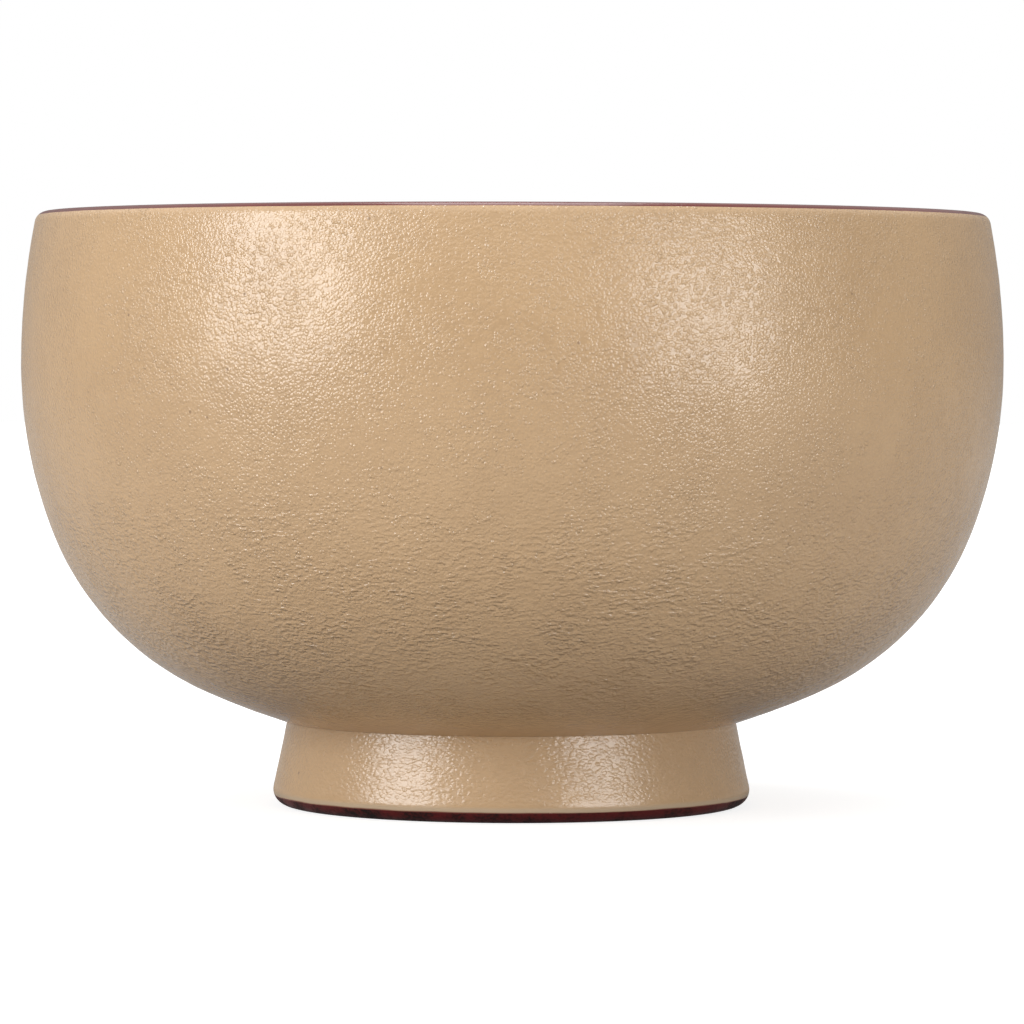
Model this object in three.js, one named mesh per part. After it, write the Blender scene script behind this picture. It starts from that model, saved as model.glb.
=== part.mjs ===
// Lacquer soup bowl: a turned wooden core, cloth at the places that split first, and three coats of lacquer.
// Millimetres, +Z up. The origin is the middle of the sole, on the surface that the bowl stands on.
import * as THREE from 'three';

// Overall form
const BOWL_DIAMETER = 120; // outside, at the belly, the widest circle of the wall
const BOWL_HEIGHT = 72.4; // from the sole to the top of the lip

// Outside of the wall: arcs that run into each other without a corner
const SHOULDER_RADIUS = 88.9; // from the belly up to the lip
const BELLY_RADIUS = 57; // just under the belly
const BELLY_END = 20.9; // degrees turned from upright where the hip takes over
const HIP_RADIUS = 35.2; // the rounding towards the underside
const HIP_END = 65.7; // degrees turned where the underside takes over
const UNDER_RADIUS = 89.2; // from the hip in to the foot

// Wall
const LIP_THICKNESS = 3.1; // the lip is a full round of this thickness
const WALL_AT_FOOT = 5.6; // the wall thickens evenly down to this
const FLOOR_THICKNESS = 5; // in the middle of the floor

// Foot
const FOOT_HEIGHT = 10.2;
const FOOT_TOP_DIAMETER = 55.1; // where the foot meets the underside in a sharp corner
const FOOT_FLARE = 11.7; // degrees from upright, wider at the sole
const FOOT_RING_WIDTH = 5; // from the ring's widest circle in to the recess
const SOLE_EDGE_RADIUS = 1.9; // outer edge of the sole
const RECESS_EDGE_RADIUS = 1.5; // inner edge of the sole
const RECESS_COVE_RADIUS = 2; // hollow corner at the top of the recess

// Layers
const COAT_THICKNESS = 0.6; // ground and lacquer together
const CLOTH_THICKNESS = 0.3; // cloth lies flush in a shallow rebate in the wood
const RIM_CLOTH_REACH = 9; // down the wall from the lip's rounding, outside and inside
const BOND_GAP = 0.05; // bond line between neighbouring layers
const LIP_LINE = 45; // degrees above level on the lip's rounding where the two colours meet
const SOLE_LINE = 20; // degrees below level on the sole's outer edge where they meet again

// Facets
const FACET_DEVIATION = 0.18; // the most that a flat facet stands off its arc
const FACET_TURN = 45; // degrees, the most that one facet turns round a small edge
const ROUNDING = 1e-6; // keeps a whole number of facets from being counted as one more

const QUARTER_TURN = Math.PI / 2;
const HALF_TURN = Math.PI;
const radians = THREE.MathUtils.degToRad;

// A point of the half section: x is the distance from the axis, y the height above the sole.
const at = (radius, height) => new THREE.Vector2(radius, height);
const along = (angle, length) => at(Math.cos(angle) * length, Math.sin(angle) * length);

// Facets that a stretch of a circle needs
function facets(radius, sweep) {
  const span = Math.min(2 * Math.acos(1 - FACET_DEVIATION / radius), radians(FACET_TURN));
  return Math.ceil(Math.abs(sweep) / span - ROUNDING);
}

// Points of an arc, both ends included. Each keeps the direction in which it faces away from the centre.
function arc({ centre, radius, from, to }) {
  const steps = facets(radius, to - from);
  return Array.from({ length: steps + 1 }, (_, step) => {
    const facing = from + (to - from) * step / steps;
    return Object.assign(centre.clone().add(along(facing, radius)), { facing });
  });
}

// Arcs from the belly, at height 0, down to the top of the foot
function arcsBelowBelly() {
  const bends = [
    { radius: BELLY_RADIUS, end: radians(BELLY_END) },
    { radius: HIP_RADIUS, end: radians(HIP_END) },
    { radius: UNDER_RADIUS, end: QUARTER_TURN },
  ];
  const arcs = [];
  let tip = at(BOWL_DIAMETER / 2, 0);
  let from = 0;
  for (const { radius, end } of bends) {
    const centre = tip.clone().sub(along(from, radius));
    const atFoot = Math.acos((FOOT_TOP_DIAMETER / 2 - centre.x) / radius);
    const to = -Math.min(end, atFoot);
    arcs.push({ centre, radius, from, to });
    if (end >= atFoot) break;
    tip = centre.clone().add(along(to, radius));
    from = to;
  }
  return arcs;
}

// Arcs with a joint at a length from their start. The arc that ends there is marked.
function dividedAt(arcs, length) {
  const parts = [];
  let left = length;
  for (const whole of arcs) {
    const size = Math.abs(whole.to - whole.from) * whole.radius;
    const cut = whole.from + (whole.to - whole.from) * left / size;
    if (left > 0 && left < size) parts.push({ ...whole, to: cut, marked: true }, { ...whole, from: cut });
    else parts.push({ ...whole, marked: left === size });
    left -= size;
  }
  return parts;
}

// Heights and centres of the wall, worked up from the foot
const lowerArcs = arcsBelowBelly();
const underside = lowerArcs.at(-1);
const bellyHeight = FOOT_HEIGHT - underside.centre.y - underside.radius * Math.sin(underside.to);
lowerArcs.forEach(({ centre }) => { centre.y += bellyHeight; });
const shoulderCentre = at(BOWL_DIAMETER / 2 - SHOULDER_RADIUS, bellyHeight);
const lipRadius = LIP_THICKNESS / 2;
const lipLean = Math.asin((BOWL_HEIGHT - lipRadius - bellyHeight) / (SHOULDER_RADIUS - lipRadius));
const lipCentre = shoulderCentre.clone().add(along(lipLean, SHOULDER_RADIUS - lipRadius));

// Outside of the wall from the lip down to the foot, and the place on it where the rim cloth ends
const outside = [];
let clothEnd = 0;
const shoulder = { centre: shoulderCentre, radius: SHOULDER_RADIUS, from: lipLean, to: 0 };
for (const part of dividedAt([shoulder, ...lowerArcs], RIM_CLOTH_REACH)) {
  outside.push(...arc(part).slice(outside.length > 0 ? 1 : 0));
  if (part.marked) clothEnd = outside.length - 1;
}
const waist = outside.at(-1);

// Inside of the wall: the outside moved in by a thickness that grows from the lip to the foot
function insideOf(wall) {
  const lengths = [0];
  for (let i = 1; i < wall.length; i += 1) lengths.push(lengths[i - 1] + wall[i].distanceTo(wall[i - 1]));
  return wall.map((point, i) => {
    const thickness = THREE.MathUtils.lerp(LIP_THICKNESS, WALL_AT_FOOT, lengths[i] / lengths.at(-1));
    return point.clone().sub(along(point.facing, thickness));
  });
}
const inside = insideOf(outside).reverse();

// Floor: one arc round the axis that carries the inside of the wall on to the middle
const floorEdge = inside[0];
const floorRadius = floorEdge.x / Math.cos(waist.facing);
const floorCentre = at(0, floorEdge.y - floorRadius * Math.sin(waist.facing));
const floorHeight = floorCentre.y - floorRadius;
const floorArc = arc({ centre: floorCentre, radius: floorRadius, from: -QUARTER_TURN, to: waist.facing });
const floor = [at(0, floorHeight), ...floorArc.slice(1)];

// Lip: a half round from the inside over the top to the line between the colours, and on to the outside
const lipLine = radians(LIP_LINE);
const lip = { centre: lipCentre, radius: lipRadius };
const lipInner = arc({ ...lip, from: lipLean + HALF_TURN, to: QUARTER_TURN });
const lipTop = arc({ ...lip, from: QUARTER_TURN, to: lipLine });
const lipOuter = arc({ ...lip, from: lipLine, to: lipLean });

// Foot: flared side, rounded sole and the recess under the floor
const flare = radians(FOOT_FLARE);
const soleLine = radians(SOLE_LINE);
const soleReach = (FOOT_HEIGHT - SOLE_EDGE_RADIUS) * Math.sin(flare) - SOLE_EDGE_RADIUS;
const soleEdge = {
  centre: at(waist.x + soleReach / Math.cos(flare), SOLE_EDGE_RADIUS),
  radius: SOLE_EDGE_RADIUS,
};
const soleUpper = arc({ ...soleEdge, from: flare, to: -soleLine });
const soleLower = arc({ ...soleEdge, from: -soleLine, to: -QUARTER_TURN });
const recessRadius = soleEdge.centre.x + SOLE_EDGE_RADIUS - FOOT_RING_WIDTH;
const recessHeight = floorHeight - FLOOR_THICKNESS;
const recessEdge = arc({
  centre: at(recessRadius + RECESS_EDGE_RADIUS, RECESS_EDGE_RADIUS),
  radius: RECESS_EDGE_RADIUS,
  from: -QUARTER_TURN,
  to: -HALF_TURN,
});
const cove = arc({
  centre: at(recessRadius - RECESS_COVE_RADIUS, recessHeight - RECESS_COVE_RADIUS),
  radius: RECESS_COVE_RADIUS,
  from: 0,
  to: QUARTER_TURN,
});

// The finished surface in one run, axis to axis
// A stretch that starts where the last one ended shares its point.
const surface = [];
function lay(stretch) {
  const shared = surface.length > 0 && surface.at(-1).distanceTo(stretch[0]) < BOND_GAP;
  surface.push(...stretch.slice(shared ? 1 : 0));
  return surface.length - 1;
}
const atFloorMiddle = 0;
const atFloorEdge = lay(floor);
const atInnerClothEnd = lay(inside.slice(0, inside.length - clothEnd));
lay(inside.slice(inside.length - clothEnd));
lay(lipInner);
const atLipLine = lay(lipTop);
lay(lipOuter);
const atOuterClothEnd = lay(outside.slice(0, clothEnd + 1));
const atWaist = lay(outside.slice(clothEnd));
const atSoleLine = lay(soleUpper);
lay(soleLower);
lay(recessEdge);
const atRecessTop = lay(cove.slice(0, 1));
lay(cove);
const atRecessMiddle = lay([at(0, recessHeight)]);

// Direction from one point to the next, turned a quarter to face into the wall
function inward(from, to) {
  const step = to.clone().sub(from).normalize();
  return at(step.y, -step.x);
}

// The finished surface moved into the wall by a depth, every face staying parallel to itself
function parallel(depth) {
  return surface.map((point, i) => {
    const before = i > 0 ? inward(surface[i - 1], point) : null;
    const after = i < surface.length - 1 ? inward(point, surface[i + 1]) : null;
    const first = before ?? at(-after.x, after.y);
    const second = after ?? at(-before.x, before.y);
    const corner = first.clone().add(second).divideScalar(1 + first.dot(second));
    return point.clone().addScaledVector(corner, depth);
  });
}

// Cut edges of a layer stand half a bond line back from the place where it meets its neighbour.
function cutBack(points) {
  const moved = (end, next) => end.clone().add(next.clone().sub(end).setLength(BOND_GAP / 2));
  const last = points.length - 1;
  return points.map((point, i) => {
    if (point.x === 0 || (i > 0 && i < last)) return point;
    return moved(point, i === 0 ? points[1] : points[last - 1]);
  });
}

// Half section of a layer over one stretch of the surface, between two depths
function layer(from, to, top, bottom) {
  const face = cutBack(parallel(top).slice(from, to + 1));
  const back = cutBack(parallel(bottom).slice(from, to + 1)).reverse();
  if (from === atFloorMiddle) return [...face, ...back];
  if (to === atRecessMiddle) return [...back, ...face];
  return [...face, ...back, face[0].clone()];
}
const coatLayer = (from, to) => layer(from, to, 0, COAT_THICKNESS - BOND_GAP);
const rebateDepth = COAT_THICKNESS + CLOTH_THICKNESS;
const clothLayer = ({ from, to }) => layer(from, to, COAT_THICKNESS, rebateDepth - BOND_GAP);

// Stretches of the wood that are covered with cloth
const wellStrip = { from: atFloorMiddle, to: atFloorEdge };
const rimStrip = { from: atInnerClothEnd, to: atOuterClothEnd };
const footStrip = { from: atWaist, to: atRecessTop };

// Half section of the wood: under the coats, and deeper where the cloth lies
function woodSection() {
  const bare = parallel(COAT_THICKNESS);
  const rebated = parallel(rebateDepth);
  const points = [];
  let next = wellStrip.from;
  for (const { from, to } of [wellStrip, rimStrip, footStrip]) {
    if (from > next) points.push(...bare.slice(next, from + 1));
    points.push(...rebated.slice(from, to + 1));
    next = to;
  }
  points.push(...bare.slice(next));
  return points;
}

// Materials
const wood = new THREE.MeshStandardMaterial({ color: 0xb58a5c, roughness: 0.7, metalness: 0 });
const cloth = new THREE.MeshStandardMaterial({ color: 0xd8ccb2, roughness: 0.95, metalness: 0 });
const sandLacquer = new THREE.MeshStandardMaterial({ color: 0xcdae86, roughness: 0.38, metalness: 0 });
const redLacquer = new THREE.MeshStandardMaterial({ color: 0x6b2a21, roughness: 0.3, metalness: 0 });

// A named solid turned from its half section, with its axis upright
// All share the same facets round the axis, so that neighbouring layers stay parallel.
const sides = 4 * facets(BOWL_DIAMETER / 2, QUARTER_TURN);
function turned(name, section, material) {
  const geometry = new THREE.LatheGeometry([...section].reverse(), sides);
  geometry.rotateX(QUARTER_TURN);
  const mesh = new THREE.Mesh(geometry, material);
  mesh.name = name;
  return mesh;
}

const bowl = new THREE.Group();
bowl.add(
  turned('wood_core', woodSection(), wood),
  turned('rim_cloth', clothLayer(rimStrip), cloth.clone()),
  turned('foot_cloth', clothLayer(footStrip), cloth.clone()),
  turned('well_cloth', clothLayer(wellStrip), cloth.clone()),
  turned('outer_coat', coatLayer(atLipLine, atSoleLine), sandLacquer),
  turned('inner_coat', coatLayer(atFloorMiddle, atLipLine), redLacquer),
  turned('sole_coat', coatLayer(atSoleLine, atRecessMiddle), redLacquer.clone()),
);

export default bowl;
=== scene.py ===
# Lacquer soup bowl: every layer is turned round the upright axis from its half section.
# Metres, +Z up. The bowl stands on its sole at height 0, and the camera looks along +Y.
import math

import bpy
from mathutils import Matrix, Vector


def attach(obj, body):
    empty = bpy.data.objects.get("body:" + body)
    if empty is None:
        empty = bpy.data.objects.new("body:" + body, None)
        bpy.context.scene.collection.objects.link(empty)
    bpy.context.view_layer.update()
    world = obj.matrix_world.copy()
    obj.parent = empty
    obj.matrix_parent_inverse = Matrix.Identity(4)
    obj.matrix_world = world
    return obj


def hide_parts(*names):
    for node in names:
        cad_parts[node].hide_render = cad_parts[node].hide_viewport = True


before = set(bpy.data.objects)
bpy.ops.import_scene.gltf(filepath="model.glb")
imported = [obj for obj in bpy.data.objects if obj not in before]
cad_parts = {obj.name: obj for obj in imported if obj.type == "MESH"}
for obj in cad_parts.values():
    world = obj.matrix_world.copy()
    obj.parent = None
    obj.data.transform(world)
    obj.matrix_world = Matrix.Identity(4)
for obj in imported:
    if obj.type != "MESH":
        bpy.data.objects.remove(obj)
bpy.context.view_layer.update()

# Form of the bowl, the same sizes as in the part's source
BOWL_DIAMETER = 0.120
BOWL_HEIGHT = 0.0724
SHOULDER_RADIUS = 0.0889
BELLY_RADIUS = 0.057
BELLY_END = math.radians(20.9)
HIP_RADIUS = 0.0352
HIP_END = math.radians(65.7)
UNDER_RADIUS = 0.0892
LIP_THICKNESS = 0.0031
WALL_AT_FOOT = 0.0056
FLOOR_THICKNESS = 0.005
FOOT_HEIGHT = 0.0102
FOOT_TOP_DIAMETER = 0.0551
FOOT_FLARE = math.radians(11.7)
FOOT_RING_WIDTH = 0.005
SOLE_EDGE_RADIUS = 0.0019
RECESS_EDGE_RADIUS = 0.0015
RECESS_COVE_RADIUS = 0.002
COAT_THICKNESS = 0.0006
CLOTH_THICKNESS = 0.0003
RIM_CLOTH_REACH = 0.009
BOND_GAP = 0.00005
LIP_LINE = math.radians(45)
SOLE_LINE = math.radians(20)

# Fineness of the turned meshes
WALL_STEP = 0.00062  # between rows on the wall
FOOT_STEP = 0.00036  # between rows on the foot
EDGE_TURN = math.radians(11)  # the most that one row turns round a small edge
HIDDEN_SKIP = 8  # rows of the face for each row on a layer's hidden side
HIDDEN_TURN = math.radians(16)  # the most that those rows turn before one is kept
WOOD_SKIP = 2  # the same on the wood
SAND_SIDES = 530
RED_SIDES = 320
HIDDEN_SIDES = 176
POLE_WELD = 1e-6  # points this close together on the axis become one

# Relief that the brush and the drying left in the sand lacquer, cut into the mesh
RELIEF_DEPTH = 0.00007
RELIEF_SIZE = 0.0026
RELIEF_FADE = 0.0024  # run-out of the relief at the lip, the waist and the sole
SHARP_ANGLE = math.radians(38)

QUARTER = math.pi / 2


# Half section of the finished bowl

def toward(angle, length):
    """A step in the plane of the half section: x away from the axis, y up."""
    return Vector((math.cos(angle), math.sin(angle))) * length


def bend(centre, radius, start, end):
    """Points along an arc, both ends included, each with the direction it faces."""
    sweep = abs(end - start)
    count = math.ceil(max(sweep * radius / WALL_STEP, sweep / EDGE_TURN))
    facings = [start + (end - start) * i / count for i in range(count + 1)]
    return [(centre + toward(facing, radius), facing) for facing in facings]


def places(run):
    return [place for place, _ in run]


def wall_outside():
    """The wall from the lip's rounding down to the waist, and the lip's centre and lean."""
    arcs = []
    tip, start = Vector((BOWL_DIAMETER / 2, 0)), 0
    for radius, end in ((BELLY_RADIUS, BELLY_END), (HIP_RADIUS, HIP_END), (UNDER_RADIUS, QUARTER)):
        centre = tip - toward(start, radius)
        at_foot = math.acos((FOOT_TOP_DIAMETER / 2 - centre.x) / radius)
        stop = -min(end, at_foot)
        arcs.append((centre, radius, start, stop))
        tip, start = centre + toward(stop, radius), stop
        if end >= at_foot:
            break
    belly = FOOT_HEIGHT - tip.y
    shoulder = Vector((BOWL_DIAMETER / 2 - SHOULDER_RADIUS, belly))
    lip_radius = LIP_THICKNESS / 2
    reach = SHOULDER_RADIUS - lip_radius
    lean = math.asin((BOWL_HEIGHT - lip_radius - belly) / reach)
    run = bend(shoulder, SHOULDER_RADIUS, lean, 0)
    for centre, radius, start, stop in arcs:
        run += bend(centre + Vector((0, belly)), radius, start, stop)[1:]
    return run, shoulder + toward(lean, reach), lean


def lengths_along(points):
    total = [0.0]
    for before, after in zip(points, points[1:]):
        total.append(total[-1] + (after - before).length)
    return total


def wall_inside(outside):
    """The outside moved in by a thickness that grows from the lip to the foot, foot first."""
    gone = lengths_along(places(outside))
    moved = []
    for (place, facing), length in zip(outside, gone):
        thickness = LIP_THICKNESS + (WALL_AT_FOOT - LIP_THICKNESS) * length / gone[-1]
        moved.append(place - toward(facing, thickness))
    return moved[::-1]


class Outline:
    """The finished surface from the middle of the floor to the middle of the recess."""

    def __init__(self):
        self.points = []
        self.marks = {}

    def run(self, points, mark=None):
        if self.points and (self.points[-1] - points[0]).length < BOND_GAP:
            points = points[1:]
        self.points += points
        if mark:
            self.marks[mark] = len(self.points) - 1

    def parallel(self, depth):
        """The surface moved into the wall, every face staying parallel to itself."""
        moved = []
        for i, point in enumerate(self.points):
            before = after = None
            if i > 0:
                step = (point - self.points[i - 1]).normalized()
                before = Vector((step.y, -step.x))
            if i < len(self.points) - 1:
                step = (self.points[i + 1] - point).normalized()
                after = Vector((step.y, -step.x))
            first = before or Vector((-after.x, after.y))
            second = after or Vector((-before.x, before.y))
            moved.append(point + (first + second) * (depth / (1 + first.dot(second))))
        return moved


def finished_outline():
    outside, lip_centre, lean = wall_outside()
    waist, waist_facing = outside[-1]
    inside = wall_inside(outside)
    floor_radius = inside[0].x / math.cos(waist_facing)
    floor_centre = Vector((0, inside[0].y - floor_radius * math.sin(waist_facing)))
    floor_height = floor_centre.y - floor_radius
    lip = LIP_THICKNESS / 2
    cloth_rows = sum(length < RIM_CLOTH_REACH for length in lengths_along(places(outside)))

    sole_reach = (FOOT_HEIGHT - SOLE_EDGE_RADIUS) * math.sin(FOOT_FLARE) - SOLE_EDGE_RADIUS
    sole_centre = Vector((waist.x + sole_reach / math.cos(FOOT_FLARE), SOLE_EDGE_RADIUS))
    foot_low = sole_centre + toward(FOOT_FLARE, SOLE_EDGE_RADIUS)
    foot_rows = math.ceil((foot_low - waist).length / FOOT_STEP)
    recess = sole_centre.x + SOLE_EDGE_RADIUS - FOOT_RING_WIDTH
    recess_edge = Vector((recess + RECESS_EDGE_RADIUS, RECESS_EDGE_RADIUS))
    ceiling = floor_height - FLOOR_THICKNESS
    cove = Vector((recess - RECESS_COVE_RADIUS, ceiling - RECESS_COVE_RADIUS))
    ceiling_rows = math.ceil(cove.x / (2 * WALL_STEP))

    line = Outline()
    floor = places(bend(floor_centre, floor_radius, -QUARTER, waist_facing))
    line.run([Vector((0, floor_height))] + floor[1:], "floor_edge")
    line.run(inside[:-cloth_rows], "inner_cloth_end")
    line.run(inside[-cloth_rows:])
    line.run(places(bend(lip_centre, lip, lean + math.pi, LIP_LINE)), "lip_line")
    line.run(places(bend(lip_centre, lip, LIP_LINE, lean)))
    line.run(places(outside[:cloth_rows]), "outer_cloth_end")
    line.run(places(outside[cloth_rows:]), "waist")
    line.run([waist.lerp(foot_low, i / foot_rows) for i in range(foot_rows + 1)])
    line.run(places(bend(sole_centre, SOLE_EDGE_RADIUS, FOOT_FLARE, -SOLE_LINE)), "sole_line")
    line.run(places(bend(sole_centre, SOLE_EDGE_RADIUS, -SOLE_LINE, -QUARTER)))
    line.run(places(bend(recess_edge, RECESS_EDGE_RADIUS, -QUARTER, -math.pi)))
    line.run(places(bend(cove, RECESS_COVE_RADIUS, 0, QUARTER))[:1], "recess_top")
    line.run(places(bend(cove, RECESS_COVE_RADIUS, 0, QUARTER)))
    line.run([Vector((cove.x * (1 - i / ceiling_rows), ceiling)) for i in range(ceiling_rows + 1)])
    return line


outline = finished_outline()
MIDDLE_OF_FLOOR = 0
MIDDLE_OF_RECESS = len(outline.points) - 1


# Half sections of the layers

def thinned(points, skip=HIDDEN_SKIP):
    """Fewer rows for a side that stays hidden, with both ends and the bends kept."""
    kept, turned, passed = [points[0]], 0.0, 0
    for before, point, after in zip(points, points[1:], points[2:]):
        turned += (point - before).angle(after - point)
        passed += 1
        if passed == skip or turned > HIDDEN_TURN:
            kept.append(point)
            turned, passed = 0.0, 0
    return kept + [points[-1]]


def run_out(face):
    """How much of the relief each point of a face takes: none at its ends and at the waist."""
    gone = lengths_along(face)
    waist = outline.points[outline.marks["waist"]]
    still = [0.0, gone[-1]]
    still += [length for point, length in zip(face, gone) if (point - waist).length < BOND_GAP]
    return [min(1.0, min(abs(length - stop) for stop in still) / RELIEF_FADE) for length in gone]


def layer(start, end, top, bottom):
    """Half section of a layer over one stretch: points with their share of relief."""
    face = outline.parallel(top)[start:end + 1]
    waist = outline.marks["waist"]
    back = outline.parallel(bottom)
    if start < waist < end:
        back = thinned(back[start:waist + 1]) + thinned(back[waist:end + 1])[1:]
    else:
        back = thinned(back[start:end + 1])
    shown = list(zip(face, run_out(face)))
    hidden = [(point, 0.0) for point in back[::-1]]
    return hidden + shown if end == MIDDLE_OF_RECESS else shown + hidden


def coat(start, end):
    return layer(start, end, 0, COAT_THICKNESS - BOND_GAP)


def cloth(start, end):
    return layer(start, end, COAT_THICKNESS, COAT_THICKNESS + CLOTH_THICKNESS - BOND_GAP)


def wood():
    """Under the coats, and deeper where the cloth lies."""
    bare = outline.parallel(COAT_THICKNESS)
    rebated = outline.parallel(COAT_THICKNESS + CLOTH_THICKNESS)
    marks = outline.marks
    strips = (
        (MIDDLE_OF_FLOOR, marks["floor_edge"]),
        (marks["inner_cloth_end"], marks["outer_cloth_end"]),
        (marks["waist"], marks["recess_top"]),
    )
    points, reached = [], MIDDLE_OF_FLOOR
    for start, end in strips:
        if start > reached:
            points += thinned(bare[reached:start + 1], WOOD_SKIP)
        points += thinned(rebated[start:end + 1], WOOD_SKIP)
        reached = end
    points += thinned(bare[reached:], WOOD_SKIP)
    return [(point, 0.0) for point in points]


# Node trees

def place(tree, kind, inputs=None, **settings):
    """A node with its settings, each input given a value or joined to another node's output."""
    made = tree.nodes.new(kind)
    for name, value in settings.items():
        setattr(made, name, value)
    for key, value in (inputs or {}).items():
        if isinstance(value, bpy.types.NodeSocket):
            tree.links.new(value, made.inputs[key])
        else:
            made.inputs[key].default_value = value
    return made


def maths(tree, operation, *values):
    """One step of arithmetic on numbers or outputs."""
    return place(tree, "ShaderNodeMath", dict(enumerate(values)), operation=operation).outputs[0]


def vector_maths(tree, operation, *values):
    made = place(tree, "ShaderNodeVectorMath", dict(enumerate(values)), operation=operation)
    return made.outputs[0]


def ramp(tree, value, low, high, smooth=True):
    """0 below low, 1 above high, or the other way round when low is the larger."""
    return place(
        tree, "ShaderNodeMapRange",
        {"Value": value, "From Min": low, "From Max": high},
        interpolation_type="SMOOTHSTEP" if smooth else "LINEAR",
    ).outputs["Result"]


def blend(tree, share, first, second):
    """Two colours mixed by a share, in Mix's colour sockets."""
    made = place(tree, "ShaderNodeMix", {0: share, 6: first, 7: second}, data_type="RGBA")
    return made.outputs[2]


def noise(tree, place_at, scale, detail, roughness=0.5):
    return place(tree, "ShaderNodeTexNoise", {
        "Vector": place_at, "Scale": scale, "Detail": detail, "Roughness": roughness,
    })


def new_group(kind, name, inputs, outputs):
    """An empty node group with named sockets: each input is (name, type, default)."""
    tree = bpy.data.node_groups.new(name, kind)
    for socket, type_name, default in inputs:
        made = tree.interface.new_socket(socket, in_out="INPUT", socket_type=type_name)
        if default is not None:
            made.default_value = default
    for socket, type_name in outputs:
        tree.interface.new_socket(socket, in_out="OUTPUT", socket_type=type_name)
    return tree, tree.nodes.new("NodeGroupInput"), tree.nodes.new("NodeGroupOutput")


# Turning: one tree makes every layer

AXIS_RING = 0.0005  # radius of the ring that carries the half section round


def turning_tree():
    tree, given, result = new_group(
        "GeometryNodeTree", "turned layer",
        [
            ("Half Section", "NodeSocketGeometry", None),
            ("Sides", "NodeSocketInt", HIDDEN_SIDES),
            ("Relief Depth", "NodeSocketFloat", 0.0),
            ("Relief Size", "NodeSocketFloat", RELIEF_SIZE),
            ("Finish", "NodeSocketMaterial", None),
        ],
        [("Layer", "NodeSocketGeometry")],
    )
    section = place(tree, "GeometryNodeMeshToCurve", {"Mesh": given.outputs["Half Section"]})
    ring = place(tree, "GeometryNodeCurvePrimitiveCircle", {
        "Resolution": given.outputs["Sides"], "Radius": AXIS_RING,
    })
    turned = place(tree, "GeometryNodeCurveToMesh", {
        "Curve": ring.outputs["Curve"], "Profile Curve": section.outputs["Curve"],
    })
    closed = place(tree, "GeometryNodeMergeByDistance", {
        "Geometry": turned.outputs["Mesh"], "Distance": POLE_WELD,
    })
    share = place(tree, "GeometryNodeInputNamedAttribute", {"Name": "relief"}, data_type="FLOAT")
    where = place(tree, "GeometryNodeInputPosition").outputs[0]
    scale = maths(tree, "DIVIDE", 1.0, given.outputs["Relief Size"])
    waves = noise(tree, where, scale, detail=1.0)
    depth = maths(tree, "MULTIPLY", waves.outputs[0], given.outputs["Relief Depth"])
    depth = maths(tree, "MULTIPLY", depth, share.outputs["Attribute"])
    inward = vector_maths(tree, "SCALE", place(tree, "GeometryNodeInputNormal").outputs[0])
    tree.links.new(maths(tree, "MULTIPLY", depth, -1.0), inward.node.inputs["Scale"])
    waved = place(tree, "GeometryNodeSetPosition", {
        "Geometry": closed.outputs["Geometry"], "Offset": inward,
    })
    smooth = place(tree, "GeometryNodeSetShadeSmooth", {
        "Geometry": waved.outputs["Geometry"], "Shade Smooth": True,
    }, domain="FACE")
    corner = place(tree, "GeometryNodeInputMeshEdgeAngle").outputs["Unsigned Angle"]
    creased = place(tree, "GeometryNodeSetShadeSmooth", {
        "Geometry": smooth.outputs["Geometry"],
        "Selection": maths(tree, "GREATER_THAN", corner, SHARP_ANGLE),
        "Shade Smooth": False,
    }, domain="EDGE")
    real = place(tree, "GeometryNodeRealizeInstances", {"Geometry": creased.outputs["Geometry"]})
    done = place(tree, "GeometryNodeSetMaterial", {
        "Geometry": real.outputs["Geometry"], "Material": given.outputs["Finish"],
    })
    tree.links.new(done.outputs["Geometry"], result.inputs["Layer"])
    return tree


def turn(name, section, sides, finish, relief):
    """A finished piece, turned from its half section by the tree and made a plain mesh."""
    points = places(section)
    on_axis = points[0].x < POLE_WELD
    count = len(points)
    joins = [(i, i + 1) for i in range(count - 1)] + ([] if on_axis else [(count - 1, 0)])
    # The ring carries the section with its x outward and its y downward
    blank = bpy.data.meshes.new(name + "_section")
    blank.from_pydata([(p.x - AXIS_RING, -p.y, 0) for p in points], joins, [])
    shares = blank.attributes.new("relief", "FLOAT", "POINT")
    shares.data.foreach_set("value", [share for _, share in section])
    holder = bpy.data.objects.new(name + "_section", blank)
    bpy.context.scene.collection.objects.link(holder)

    lathe = holder.modifiers.new("turned layer", "NODES")
    lathe.node_group = turning
    wanted = {"Sides": sides, "Relief Depth": relief, "Relief Size": RELIEF_SIZE, "Finish": finish}
    for socket in turning.interface.items_tree:
        if socket.in_out == "INPUT" and socket.name in wanted:
            lathe[socket.identifier] = wanted[socket.name]
    shape = holder.evaluated_get(bpy.context.evaluated_depsgraph_get())
    mesh = bpy.data.meshes.new_from_object(shape)
    holder.modifiers.remove(lathe)
    bpy.data.objects.remove(holder)
    mesh.name = name
    piece = bpy.data.objects.new(name, mesh)
    bpy.context.scene.collection.objects.link(piece)
    return piece


# Shader groups

def rippled_skin():
    """The shallow, rounded ripples that a brushed coat keeps when it levels out."""
    tree, given, result = new_group(
        "ShaderNodeTree", "rippled skin",
        [
            ("Place", "NodeSocketVector", None),
            ("Ripple Size", "NodeSocketFloat", 0.0024),
        ],
        [("Height", "NodeSocketFloat")],
    )
    scale = maths(tree, "DIVIDE", 1.0, given.outputs["Ripple Size"])
    waves = noise(tree, given.outputs["Place"], scale, detail=1.5).outputs[0]
    tree.links.new(waves, result.inputs["Height"])
    return tree


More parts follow.
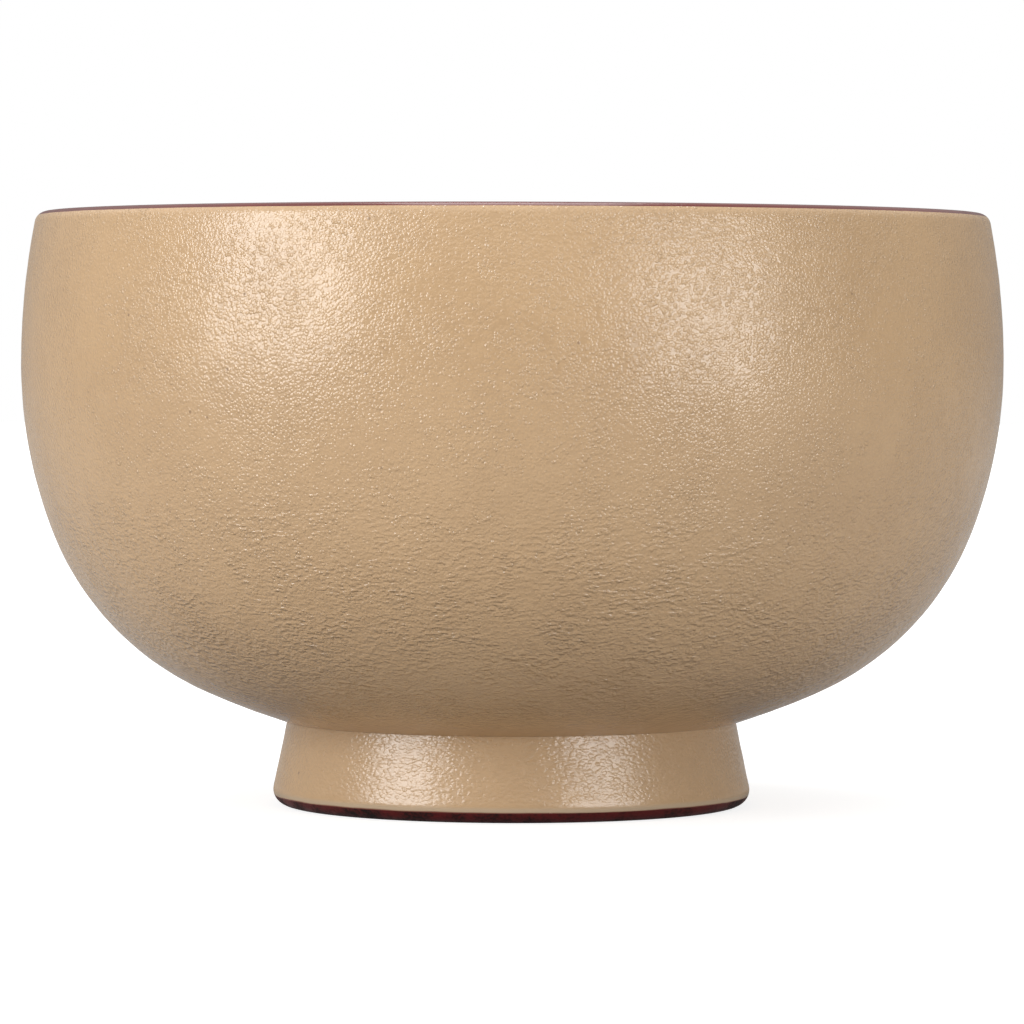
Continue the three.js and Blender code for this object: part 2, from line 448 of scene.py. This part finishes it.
WRINKLE_RISE = (0.3, 0.75)  # noise at a wrinkle's foot and on its crest
GATHER_RISE = (0.36, 0.64)  # noise outside a wrinkled patch and inside it
GATHER_SCALE = 0.3  # size of a wrinkle over the size of a patch
GATHER_LEAST = 0.45  # height that the wrinkles keep outside the patches
GATHER_ASIDE = (0.3, 0.1, 0.2)  # keeps the patches from following the wrinkles


def gathered_skin():
    """Level wrinkles that lean up the wall, in patches, where the coat sagged as it dried."""
    tree, given, result = new_group(
        "ShaderNodeTree", "gathered skin",
        [
            ("Place", "NodeSocketVector", None),
            ("Wrinkle Size", "NodeSocketFloat", 0.0015),
            ("Flatten", "NodeSocketFloat", 1.5),
            ("Lean", "NodeSocketFloat", 0.1),
        ],
        [("Height", "NodeSocketFloat")],
    )
    size = given.outputs["Wrinkle Size"]
    scale = maths(tree, "DIVIDE", 1.0, size)
    squeeze = place(tree, "ShaderNodeCombineXYZ", {0: 1.0, 1: 1.0, 2: given.outputs["Flatten"]})
    where = vector_maths(tree, "MULTIPLY", given.outputs["Place"], squeeze.outputs[0])
    plain = noise(tree, where, scale, detail=0.0).outputs[0]
    drop = maths(tree, "MULTIPLY", maths(tree, "MULTIPLY", given.outputs["Lean"], size), -1.0)
    drop = place(tree, "ShaderNodeCombineXYZ", {2: maths(tree, "MULTIPLY", plain, drop)})
    lower = vector_maths(tree, "ADD", where, drop.outputs[0])
    leaning = noise(tree, lower, scale, detail=1.0, roughness=0.4).outputs[0]
    crest = ramp(tree, leaning, *WRINKLE_RISE)
    aside = vector_maths(tree, "ADD", given.outputs["Place"], GATHER_ASIDE)
    patch_scale = maths(tree, "MULTIPLY", scale, GATHER_SCALE)
    patches = noise(tree, aside, patch_scale, detail=1.0).outputs[0]
    patches = ramp(tree, patches, *GATHER_RISE)
    patches = maths(tree, "MULTIPLY_ADD", patches, 1 - GATHER_LEAST, GATHER_LEAST)
    tree.links.new(maths(tree, "MULTIPLY", crest, patches), result.inputs["Height"])
    return tree


STRAY_SCALE = 0.7  # size of a pebble over the size of the waver in its outline
PEBBLE_FALL = 2.2  # how fast a pebble falls away from its middle
PEBBLE_LEAST = 0.6  # height of the lowest pebbles
PEBBLE_RARITY = 4.0  # the higher, the fewer pebbles are tall
CREASE_SHADE_RISE = (0.45, 0.8)  # from a pebble's middle, where the painted shade in a crease begins and is full


def pebbled_skin():
    """Round grains pressed together, their outlines wavering and a few of them taller, with a mask
    for painted shade where they meet.
    """
    tree, given, result = new_group(
        "ShaderNodeTree", "pebbled skin",
        [
            ("Place", "NodeSocketVector", None),
            ("Pebble Size", "NodeSocketFloat", 0.0005),
            ("Flatten", "NodeSocketFloat", 1.0),
            ("Waver", "NodeSocketFloat", 0.5),
            ("Taller", "NodeSocketFloat", 1.0),
        ],
        [("Height", "NodeSocketFloat"), ("Crease Shade", "NodeSocketFloat")],
    )
    size = given.outputs["Pebble Size"]
    scale = maths(tree, "DIVIDE", 1.0, size)
    squeeze = place(tree, "ShaderNodeCombineXYZ", {0: 1.0, 1: 1.0, 2: given.outputs["Flatten"]})
    where = vector_maths(tree, "MULTIPLY", given.outputs["Place"], squeeze.outputs[0])
    stray_scale = maths(tree, "MULTIPLY", scale, STRAY_SCALE)
    stray = noise(tree, where, stray_scale, detail=1.0).outputs["Color"]
    stray = vector_maths(tree, "SCALE", vector_maths(tree, "SUBTRACT", stray, (0.5, 0.5, 0.5)))
    reach = maths(tree, "MULTIPLY", size, given.outputs["Waver"])
    tree.links.new(reach, stray.node.inputs["Scale"])
    grain = place(tree, "ShaderNodeTexVoronoi", {
        "Vector": vector_maths(tree, "ADD", where, stray), "Scale": scale,
    }).outputs
    from_middle = grain["Distance"]
    falling = maths(tree, "MULTIPLY", from_middle, PEBBLE_FALL)
    hollow = maths(tree, "MULTIPLY", from_middle, falling)
    dome = maths(tree, "MAXIMUM", maths(tree, "SUBTRACT", 1.0, hollow), 0.0)
    chance = place(tree, "ShaderNodeSeparateColor", {0: grain["Color"]}).outputs["Red"]
    chance = maths(tree, "POWER", chance, PEBBLE_RARITY)
    lift = maths(tree, "MULTIPLY_ADD", chance, given.outputs["Taller"], PEBBLE_LEAST)
    tree.links.new(maths(tree, "MULTIPLY", dome, lift), result.inputs["Height"])
    # mask for painted shade in the creases where the pebbles meet
    tree.links.new(ramp(tree, from_middle, *CREASE_SHADE_RISE), result.inputs["Crease Shade"])
    return tree


BROAD_SHARE = 0.6  # of the broad patches in the mottle, the rest being fine ones
FINE_SCALE = 9.0  # size of a broad patch over the size of a fine one
MOTTLE_RISE = (0.38, 0.66)  # noise at the light and at the dark end of the mottle


def mottled_colour():
    """A base colour with darker patches of two sizes."""
    tree, given, result = new_group(
        "ShaderNodeTree", "mottled colour",
        [
            ("Place", "NodeSocketVector", None),
            ("Light", "NodeSocketColor", (0.6, 0.4, 0.25, 1)),
            ("Dark", "NodeSocketColor", (0.5, 0.33, 0.2, 1)),
            ("Patch Size", "NodeSocketFloat", 0.02),
        ],
        [("Color", "NodeSocketColor"), ("Patches", "NodeSocketFloat")],
    )
    where = given.outputs["Place"]
    scale = maths(tree, "DIVIDE", 1.0, given.outputs["Patch Size"])
    broad = noise(tree, where, scale, detail=2.0).outputs[0]
    fine_scale = maths(tree, "MULTIPLY", scale, FINE_SCALE)
    fine = noise(tree, where, fine_scale, detail=3.0).outputs[0]
    broad = maths(tree, "MULTIPLY", broad, BROAD_SHARE)
    both = maths(tree, "MULTIPLY_ADD", fine, 1 - BROAD_SHARE, broad)
    patches = ramp(tree, both, *MOTTLE_RISE)
    colour = blend(tree, patches, given.outputs["Light"], given.outputs["Dark"])
    tree.links.new(colour, result.inputs["Color"])
    tree.links.new(patches, result.inputs["Patches"])
    return tree


HAND_SCALE = 90.0  # wavers of the hand in a metre


def brushed_edge():
    """1 above a level line that a hand drew and 0 below it, the line wavering a little."""
    tree, given, result = new_group(
        "ShaderNodeTree", "brushed edge",
        [
            ("Place", "NodeSocketVector", None),
            ("Level", "NodeSocketFloat", 0.0),
            ("Waver", "NodeSocketFloat", 0.0001),
            ("Softness", "NodeSocketFloat", 0.0001),
        ],
        [("Above", "NodeSocketFloat")],
    )
    height = place(tree, "ShaderNodeSeparateXYZ", {0: given.outputs["Place"]}).outputs["Z"]
    slow = noise(tree, given.outputs["Place"], HAND_SCALE, detail=3.0).outputs[0]
    waver = maths(tree, "MULTIPLY", maths(tree, "SUBTRACT", slow, 0.5), given.outputs["Waver"])
    off = maths(tree, "SUBTRACT", maths(tree, "ADD", height, waver), given.outputs["Level"])
    share = maths(tree, "DIVIDE", off, given.outputs["Softness"])
    tree.links.new(ramp(tree, share, -0.5, 0.5), result.inputs["Above"])
    return tree


def plain_weave():
    """Threads that pass over and under each other, from two lengths along the cloth."""
    tree, given, result = new_group(
        "ShaderNodeTree", "plain weave",
        [
            ("Across", "NodeSocketFloat", 0.0),
            ("Along", "NodeSocketFloat", 0.0),
            ("Thread Pitch", "NodeSocketFloat", 0.0009),
        ],
        [("Height", "NodeSocketFloat")],
    )
    pitch = given.outputs["Thread Pitch"]
    turns = []
    for name in ("Across", "Along"):
        threads = maths(tree, "DIVIDE", given.outputs[name], pitch)
        turns.append(maths(tree, "MULTIPLY", threads, math.pi))
    over = maths(tree, "MULTIPLY", maths(tree, "SINE", turns[0]), maths(tree, "SINE", turns[1]))
    threads = [maths(tree, "ABSOLUTE", maths(tree, "SINE", turn)) for turn in turns]
    upper = maths(tree, "MULTIPLY", threads[0], maths(tree, "MULTIPLY_ADD", over, 0.5, 0.5))
    lower = maths(tree, "MULTIPLY", threads[1], maths(tree, "MULTIPLY_ADD", over, -0.5, 0.5))
    tree.links.new(maths(tree, "MAXIMUM", upper, lower), result.inputs["Height"])
    return tree


def use(tree, group, **inputs):
    """A shader group placed in a material, inputs named with _ for a space."""
    made = tree.nodes.new("ShaderNodeGroup")
    made.node_tree = group
    for key, value in inputs.items():
        socket = made.inputs[key.replace("_", " ")]
        if isinstance(value, bpy.types.NodeSocket):
            tree.links.new(value, socket)
        else:
            socket.default_value = value
    return made.outputs


turning = turning_tree()
ripples = rippled_skin()
wrinkles = gathered_skin()
pebbles = pebbled_skin()
mottle = mottled_colour()
edge = brushed_edge()
weave = plain_weave()


# Materials

def new_material(name):
    """An empty material with its shader and the place of each point on the piece."""
    material = bpy.data.materials.new(name)
    material.use_nodes = True
    tree = material.node_tree
    shader = tree.nodes["Principled BSDF"]
    where = tree.nodes.new("ShaderNodeTexCoord").outputs["Object"]
    return material, tree, shader, where


def raise_skin(tree, shader, height, depth):
    """Bump on the shader, a height of 1 standing for the given depth."""
    bump = place(tree, "ShaderNodeBump", {"Height": height, "Distance": depth, "Strength": 1.0})
    tree.links.new(bump.outputs[0], shader.inputs["Normal"])


# Sand lacquer: its skin
SKIN_DEPTH = 0.00010  # of a height of 1
BODY_PEBBLES = {"Pebble_Size": 0.00036, "Flatten": 1.0, "Waver": 0.6, "Taller": 1.1}
FOOT_PEBBLES = {"Pebble_Size": 0.0006, "Flatten": 1.5, "Waver": 1.0, "Taller": 0.3}
SAG_WRINKLES = {"Wrinkle_Size": 0.00095, "Flatten": 2.3, "Lean": 0.45}
SAG_HEIGHTS = (0.049, 0.020)  # where the wrinkles begin, and where they are full
WRINKLE_SHARE, WRINKLE_SHARE_LOW = 0.15, 2.0  # of the skin's depth, and what is added low down
PEBBLE_SHARE, PEBBLE_SHARE_LOW = 0.64, 0.2
BODY_SKIN_FULL = 0.0145  # height above the sole from which the body has its whole skin
FOOT_SKIN_HEIGHTS = (0.0014, 0.0032)  # where the foot's skin begins, and where it is full
FOOT_SKIN_SHARE = 0.56
SKIN_PATCHES = 130.0  # patches of deeper skin in a metre
SKIN_PATCH_RISE = (0.3, 0.62)
SKIN_PATCH_LEAST = 0.6  # share of the skin's height that is left between the patches

# Sand lacquer: its colours and gloss
SAND_LIGHT = (0.610, 0.398, 0.211, 1)
SAND_DARK = (0.570, 0.368, 0.193, 1)
# painted shade laid into the creases between the body's pebbles
SAND_CREASE_SHADE = (0.40, 0.26, 0.145, 1)
# paler colour in a narrow band just above the sole's red edge
SAND_PALE_BAND = (0.60, 0.49, 0.36, 1)
SPECK = (0.14, 0.075, 0.04, 1)
RED_EDGE = (0.17, 0.035, 0.022, 1)
SAND_PATCH = 0.016
# strength of the painted shade in the creases
CREASE_SHADE_SHARE = 0.2
SPECKS = 170.0  # places for a speck in a metre
SPECK_RISE = (0.045, 0.02)  # from a speck's middle, where it begins and is full
SPECK_SHARE = 0.45
HAND_WAVER = 0.0004
LIP_EDGE_RISE, LIP_EDGE_SOFTNESS, LIP_EDGE_SHARE = 0.00002, 0.00012, 0.8
PALE_BAND_RISE, PALE_BAND_SOFTNESS, PALE_BAND_SHARE = 0.0006, 0.0005, 0.6
SOLE_EDGE_RISE, SOLE_EDGE_SOFTNESS = 0.0001, 0.0002
GLOSS_PATCHES = 320.0  # patches of duller gloss in a metre
GLOSS_RISE = (0.3, 0.7)
GLOSS_SPREAD = 0.06
BODY_SATIN, FOOT_SATIN = 0.14, 0.22
SAND_IOR = 1.8


def sand_skin(tree, where, on_body, height_above_sole):
    """Height of the skin in depths, a mask for painted shade in the body's creases, and the share
    of skin on the body.
    """
    body = use(tree, pebbles, Place=where, **BODY_PEBBLES)
    sagged = use(tree, wrinkles, Place=where, **SAG_WRINKLES)
    foot = use(tree, pebbles, Place=where, **FOOT_PEBBLES)
    near_waist = ramp(tree, height_above_sole, FOOT_HEIGHT, BODY_SKIN_FULL)
    patchy = noise(tree, where, SKIN_PATCHES, detail=2.0).outputs[0]
    patchy = ramp(tree, patchy, *SKIN_PATCH_RISE)
    patchy = maths(tree, "MULTIPLY_ADD", patchy, 1 - SKIN_PATCH_LEAST, SKIN_PATCH_LEAST)
    body_share = maths(tree, "MULTIPLY", patchy, near_waist)
    low_down = ramp(tree, height_above_sole, *SAG_HEIGHTS)
    deeper = maths(tree, "MULTIPLY_ADD", low_down, WRINKLE_SHARE_LOW, WRINKLE_SHARE)
    gathers = maths(tree, "MULTIPLY", sagged["Height"], deeper)
    steeper = maths(tree, "MULTIPLY_ADD", low_down, PEBBLE_SHARE_LOW, PEBBLE_SHARE)
    both = maths(tree, "MULTIPLY_ADD", body["Height"], steeper, gathers)
    body_height = maths(tree, "MULTIPLY", both, body_share)
    foot_share = ramp(tree, height_above_sole, *FOOT_SKIN_HEIGHTS)
    foot_share = maths(tree, "MULTIPLY", foot_share, FOOT_SKIN_SHARE)
    foot_height = maths(tree, "MULTIPLY", foot["Height"], foot_share)
    height = place(tree, "ShaderNodeMix", {0: on_body, 2: foot_height, 3: body_height}).outputs[0]
    return height, body["Crease Shade"], body_share


def sand_lacquer():
    material, tree, shader, where = new_material("sand_lacquer")
    height_above_sole = place(tree, "ShaderNodeSeparateXYZ", {0: where}).outputs["Z"]
    on_body = maths(tree, "GREATER_THAN", height_above_sole, FOOT_HEIGHT)
    height, crease_shade, body_share = sand_skin(tree, where, on_body, height_above_sole)
    raise_skin(tree, shader, height, SKIN_DEPTH)

    base = use(tree, mottle, Place=where, Light=SAND_LIGHT, Dark=SAND_DARK, Patch_Size=SAND_PATCH)
    # painted shade in the creases between the pebbles
    crease_shade_share = maths(tree, "MULTIPLY", body_share, CREASE_SHADE_SHARE)
    base = blend(tree, maths(tree, "MULTIPLY", crease_shade, crease_shade_share), base["Color"], SAND_CREASE_SHADE)
    dots = place(tree, "ShaderNodeTexVoronoi", {"Vector": where, "Scale": SPECKS})
    specks = ramp(tree, dots.outputs["Distance"], *SPECK_RISE)
    base = blend(tree, maths(tree, "MULTIPLY", specks, SPECK_SHARE), base, SPECK)

    lip_height = BOWL_HEIGHT - LIP_THICKNESS / 2 * (1 - math.sin(LIP_LINE))
    sole_height = SOLE_EDGE_RADIUS * (1 - math.sin(SOLE_LINE))
    lip_edge = use(tree, edge, Place=where, Level=lip_height + LIP_EDGE_RISE,
                   Waver=HAND_WAVER, Softness=LIP_EDGE_SOFTNESS)["Above"]
    base = blend(tree, maths(tree, "MULTIPLY", lip_edge, LIP_EDGE_SHARE), base, RED_EDGE)
    # a paler band of colour just above the sole's red edge
    pale_band_top = use(tree, edge, Place=where, Level=sole_height + PALE_BAND_RISE,
                    Waver=HAND_WAVER, Softness=PALE_BAND_SOFTNESS)["Above"]
    pale_band = maths(tree, "MULTIPLY", maths(tree, "SUBTRACT", 1.0, pale_band_top), PALE_BAND_SHARE)
    base = blend(tree, pale_band, base, SAND_PALE_BAND)
    sole_edge = use(tree, edge, Place=where, Level=sole_height + SOLE_EDGE_RISE,
                    Waver=HAND_WAVER, Softness=SOLE_EDGE_SOFTNESS)["Above"]
    base = blend(tree, maths(tree, "SUBTRACT", 1.0, sole_edge), base, RED_EDGE)
    tree.links.new(base, shader.inputs["Base Color"])

    gloss = noise(tree, where, GLOSS_PATCHES, detail=3.0).outputs[0]
    gloss = ramp(tree, gloss, *GLOSS_RISE, smooth=False)
    satin = maths(tree, "MULTIPLY_ADD", on_body, BODY_SATIN - FOOT_SATIN, FOOT_SATIN)
    rough = maths(tree, "MULTIPLY_ADD", gloss, GLOSS_SPREAD, satin)
    tree.links.new(rough, shader.inputs["Roughness"])
    shader.inputs["IOR"].default_value = SAND_IOR
    return material


RED_LIGHT = (0.150, 0.020, 0.013, 1)
RED_DARK = (0.115, 0.015, 0.010, 1)
SOLE_RED = (0.12, 0.011, 0.011, 1)
SOLE_BLACK = (0.012, 0.004, 0.003, 1)
PEEL_SIZE, PEEL_DEPTH = 0.0035, 0.000018
RED_IOR = 1.36


def red_lacquer(name, light, dark, patch_size, gloss, wear):
    """Red lacquer whose darker patches are duller: roughness from gloss to gloss + wear."""
    material, tree, shader, where = new_material(name)
    peel = use(tree, ripples, Place=where, Ripple_Size=PEEL_SIZE)
    raise_skin(tree, shader, peel["Height"], PEEL_DEPTH)
    colour = use(tree, mottle, Place=where, Light=light, Dark=dark, Patch_Size=patch_size)
    tree.links.new(colour["Color"], shader.inputs["Base Color"])
    rough = maths(tree, "MULTIPLY_ADD", colour["Patches"], wear, gloss)
    tree.links.new(rough, shader.inputs["Roughness"])
    shader.inputs["IOR"].default_value = RED_IOR
    return material


EARLY_WOOD = (0.52, 0.30, 0.13, 1)
LATE_WOOD = (0.36, 0.19, 0.075, 1)
WOOD_PORE = (0.17, 0.08, 0.03, 1)
GRAIN_TURN = (0.12, 1.45, 0.3)  # lays the tree's heart nearly level
HEART_PLACE = (0.02, 0.35, 0.1)  # moves it outside the bowl
YEAR_RINGS = 75.0
PORES = 2600.0  # in a metre across the grain
PORE_STRETCH = (1.0, 1.0, 0.06)
PORE_RISE = (0.5, 0.68)
PORE_SHARE = 0.55
PORE_DEPTH = 0.00003
WOOD_ROUGH, PORE_ROUGH = 0.6, 0.2


def turned_wood():
    material, tree, shader, where = new_material("turned_wood")
    across = place(tree, "ShaderNodeMapping", {
        "Vector": where, "Rotation": GRAIN_TURN, "Location": HEART_PLACE,
    }).outputs[0]
    rings = place(tree, "ShaderNodeTexWave", {
        "Vector": across, "Scale": YEAR_RINGS,
        "Distortion": 3.0, "Detail": 3.0, "Detail Scale": 1.2,
    }, wave_type="RINGS", rings_direction="Z")
    stretch = vector_maths(tree, "MULTIPLY", across, PORE_STRETCH)
    pores = ramp(tree, noise(tree, stretch, PORES, detail=2.0).outputs[0], *PORE_RISE)
    grain = blend(tree, rings.outputs["Fac"], EARLY_WOOD, LATE_WOOD)
    grain = blend(tree, maths(tree, "MULTIPLY", pores, PORE_SHARE), grain, WOOD_PORE)
    tree.links.new(grain, shader.inputs["Base Color"])
    raise_skin(tree, shader, maths(tree, "SUBTRACT", 1.0, pores), PORE_DEPTH)
    rough = maths(tree, "MULTIPLY_ADD", pores, PORE_ROUGH, WOOD_ROUGH)
    tree.links.new(rough, shader.inputs["Roughness"])
    return material


# painted shade for the threads low in the weave, and painted light where they stand high
THREAD_SHADED = (0.36, 0.29, 0.19, 1)
THREAD_LIT = (0.70, 0.61, 0.45, 1)
THREAD_FIBRE = (0.50, 0.41, 0.27, 1)
THREAD_PITCH, THREAD_DEPTH = 0.0009, 0.00012
FIBRES = 1500.0  # in a metre
FIBRE_SHARE = 0.4
CLOTH_ROUGH, FIBRE_ROUGH = 0.7, 0.2
LIP_CLOTH_RADIUS, FOOT_CLOTH_RADIUS = 0.0575, 0.027


def ground_cloth(name, mean_radius):
    """Cloth set in lacquer: a strip round the bowl, or with no radius a flat round."""
    material, tree, shader, where = new_material(name)
    parts = place(tree, "ShaderNodeSeparateXYZ", {0: where}).outputs
    across, along = parts["X"], parts["Y"]
    if mean_radius:
        angle = maths(tree, "ARCTAN2", parts["Y"], parts["X"])
        across, along = maths(tree, "MULTIPLY", angle, mean_radius), parts["Z"]
    threads = use(tree, weave, Across=across, Along=along, Thread_Pitch=THREAD_PITCH)["Height"]
    # painted shade in the weave's hollows and painted light on the raised threads
    colour = blend(tree, threads, THREAD_SHADED, THREAD_LIT)
    fibre = noise(tree, where, FIBRES, detail=3.0).outputs[0]
    colour = blend(tree, maths(tree, "MULTIPLY", fibre, FIBRE_SHARE), colour, THREAD_FIBRE)
    tree.links.new(colour, shader.inputs["Base Color"])
    raise_skin(tree, shader, threads, THREAD_DEPTH)
    rough = maths(tree, "MULTIPLY_ADD", fibre, FIBRE_ROUGH, CLOTH_ROUGH)
    tree.links.new(rough, shader.inputs["Roughness"])
    return material


# Pieces

def stand_for(piece, node):
    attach(piece, "root")
    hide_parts(node)


marks = outline.marks
red_inside = red_lacquer("red_lacquer_inside", RED_LIGHT, RED_DARK, patch_size=0.03, gloss=0.16,
                         wear=0.10)
red_sole = red_lacquer("red_lacquer_sole", SOLE_RED, SOLE_BLACK, patch_size=0.0035, gloss=0.3,
                       wear=0.25)
layers = (
    ("sand_coat", coat(marks["lip_line"], marks["sole_line"]), SAND_SIDES, sand_lacquer(),
     RELIEF_DEPTH, "outer_coat", "sand_lacquer"),
    ("red_coat_inside", coat(MIDDLE_OF_FLOOR, marks["lip_line"]), RED_SIDES, red_inside,
     0.0, "inner_coat", "red_lacquer"),
    ("red_coat_sole", coat(marks["sole_line"], MIDDLE_OF_RECESS), RED_SIDES, red_sole,
     0.0, "sole_coat", "red_lacquer"),
    ("turned_core", wood(), HIDDEN_SIDES, turned_wood(),
     0.0, "wood_core", "turned_wood"),
    ("lip_cloth_strip", cloth(marks["inner_cloth_end"], marks["outer_cloth_end"]), HIDDEN_SIDES,
     ground_cloth("lip_cloth", LIP_CLOTH_RADIUS), 0.0, "rim_cloth", "ground_cloth"),
    ("foot_cloth_strip", cloth(marks["waist"], marks["recess_top"]), HIDDEN_SIDES,
     ground_cloth("foot_cloth", FOOT_CLOTH_RADIUS), 0.0, "foot_cloth", "ground_cloth"),
    ("well_cloth_round", cloth(MIDDLE_OF_FLOOR, marks["floor_edge"]), HIDDEN_SIDES,
     ground_cloth("well_cloth", 0.0), 0.0, "well_cloth", "ground_cloth"),
)
pieces = {}
for name, section, sides, finish, relief, node, slot in layers:
    pieces[name] = turn(name, section, sides, finish, relief)
    stand_for(pieces[name], node)


def cut_size(start, end):
    """Width and length of a strip of cloth before it is stretched round the bowl."""
    middle = outline.parallel(COAT_THICKNESS + CLOTH_THICKNESS / 2)[start:end + 1]
    width = lengths_along(middle)[-1]
    swept = sum((after - before).length * (before.x + after.x) / 2
                for before, after in zip(middle, middle[1:]))
    return width, math.tau * swept / width


lip_cut = cut_size(marks["inner_cloth_end"], marks["outer_cloth_end"])
foot_cut = cut_size(marks["waist"], marks["recess_top"])
well_reach = cut_size(MIDDLE_OF_FLOOR, marks["floor_edge"])[0]


# Stage

WHITE = (1, 1, 1, 1)
ROOM_IN_GLOSS = 0.06  # share of the white background that shows in a reflection
FLOOR_IN_GLOSS = 0.07  # the same for the floor
FLOOR_GREY = (0.4, 0.4, 0.4, 1)
FLOOR_HALF = 3.0
FLOOR_NEAR, FLOOR_FAR = 0.08, 0.2  # from the axis, where the floor's lift grows from and to
LIFT_NEAR, LIFT_MORE = 0.8, 0.25  # by the bowl, and what is added further off
CEILING_RISE = (0.15, 0.75)  # how far up the walls end and the ceiling is full


def seen_directly(tree, in_gloss):
    """1 where a thing is seen straight or through glass, and a share of that in a reflection."""
    path = place(tree, "ShaderNodeLightPath").outputs
    seen = maths(tree, "MAXIMUM", path["Is Camera Ray"], path["Is Transmission Ray"])
    return maths(tree, "MAXIMUM", seen, maths(tree, "MULTIPLY", path["Is Glossy Ray"], in_gloss))


def pale_floor():
    """White to the eye, with the bowl's shadow left on it."""
    material = bpy.data.materials.new("pale_floor")
    material.use_nodes = True
    tree = material.node_tree
    tree.nodes.clear()
    matt = place(tree, "ShaderNodeBsdfDiffuse", {"Color": FLOOR_GREY})
    where = place(tree, "ShaderNodeTexCoord").outputs["Object"]
    away = vector_maths(tree, "LENGTH", where).node.outputs["Value"]
    far_off = ramp(tree, away, FLOOR_NEAR, FLOOR_FAR)
    white = maths(tree, "MULTIPLY_ADD", far_off, LIFT_MORE, LIFT_NEAR)
    lift = place(tree, "ShaderNodeEmission", {"Color": WHITE, "Strength": white})
    both = place(tree, "ShaderNodeAddShader", {0: matt.outputs[0], 1: lift.outputs[0]})
    shown = place(tree, "ShaderNodeMixShader", {
        0: seen_directly(tree, FLOOR_IN_GLOSS), 1: matt.outputs[0], 2: both.outputs[0],
    })
    place(tree, "ShaderNodeOutputMaterial", {"Surface": shown.outputs[0]})
    mesh = bpy.data.meshes.new("floor")
    corners = [(-1, -1), (1, -1), (1, 1), (-1, 1)]
    mesh.from_pydata([(x * FLOOR_HALF, y * FLOOR_HALF, 0) for x, y in corners], [], [(0, 1, 2, 3)])
    mesh.materials.append(material)
    floor = bpy.data.objects.new("floor", mesh)
    bpy.context.scene.collection.objects.link(floor)


def white_room(ceiling, walls, leftward):
    """Soft light from all round, more from above and the left, and white to the camera."""
    world = bpy.data.worlds.new("white_room")
    bpy.context.scene.world = world
    world.use_nodes = True
    tree = world.node_tree
    tree.nodes.clear()
    way = place(tree, "ShaderNodeTexCoord").outputs["Generated"]
    part = place(tree, "ShaderNodeSeparateXYZ", {0: way}).outputs
    up = ramp(tree, part["Z"], *CEILING_RISE)
    level = maths(tree, "MULTIPLY_ADD", up, ceiling - walls, walls)
    level = maths(tree, "MULTIPLY", level, maths(tree, "MULTIPLY_ADD", part["X"], -leftward, 1.0))
    around = place(tree, "ShaderNodeBackground", {"Color": WHITE, "Strength": level})
    behind = place(tree, "ShaderNodeBackground", {"Color": WHITE, "Strength": 1.0})
    shown = place(tree, "ShaderNodeMixShader", {
        0: seen_directly(tree, ROOM_IN_GLOSS), 1: around.outputs[0], 2: behind.outputs[0],
    })
    place(tree, "ShaderNodeOutputWorld", {"Surface": shown.outputs[0]})


BOWL_MIDDLE = Vector((0, 0, 0.04))
LAMP_DISTANCE = 0.85


def softbox(name, aside, above, width, height, brightness):
    """A lamp at angles from the camera's side of the bowl, right and up, facing the bowl."""
    lamp = bpy.data.lights.new(name, "AREA")
    lamp.shape = "RECTANGLE"
    lamp.size, lamp.size_y = width, height
    lamp.energy = brightness * math.pi * width * height
    right, up = math.radians(aside), math.radians(above)
    out = Vector((math.sin(right) * math.cos(up), -math.cos(right) * math.cos(up), math.sin(up)))
    holder = bpy.data.objects.new(name, lamp)
    holder.location = BOWL_MIDDLE + out * LAMP_DISTANCE
    holder.rotation_euler = (-out).to_track_quat("-Z", "Y").to_euler()
    bpy.context.scene.collection.objects.link(holder)


EYE_LENS, EYE_SENSOR = 189.65, 36.0
EYE_NEAREST = 0.05
EYE_PLACE = (0, -0.6614, 0.0569)
EYE_TILT = math.radians(1.826)
EYE_ROLL = math.radians(0.14)


def eye():
    """The photograph's view: a long lens a little below the lip, tipped slightly down."""
    camera = bpy.data.cameras.new("eye")
    camera.lens, camera.sensor_width = EYE_LENS, EYE_SENSOR
    camera.clip_start = EYE_NEAREST
    holder = bpy.data.objects.new("eye", camera)
    tilt = Matrix.Rotation(QUARTER - EYE_TILT, 4, "X")
    roll = Matrix.Rotation(EYE_ROLL, 4, "Z")
    holder.matrix_world = Matrix.Translation(EYE_PLACE) @ tilt @ roll
    bpy.context.scene.collection.objects.link(holder)
    bpy.context.scene.camera = holder


pale_floor()
white_room(ceiling=1.08, walls=0.29, leftward=0.2)
softbox("left_softbox", aside=-54, above=17, width=0.52, height=0.46, brightness=4.6)
softbox("right_softbox", aside=44, above=8, width=0.50, height=0.32, brightness=3.9)
softbox("top_softbox", aside=180, above=68, width=0.30, height=0.36, brightness=5.0)
eye()
bpy.context.scene.view_settings.view_transform = "Standard"
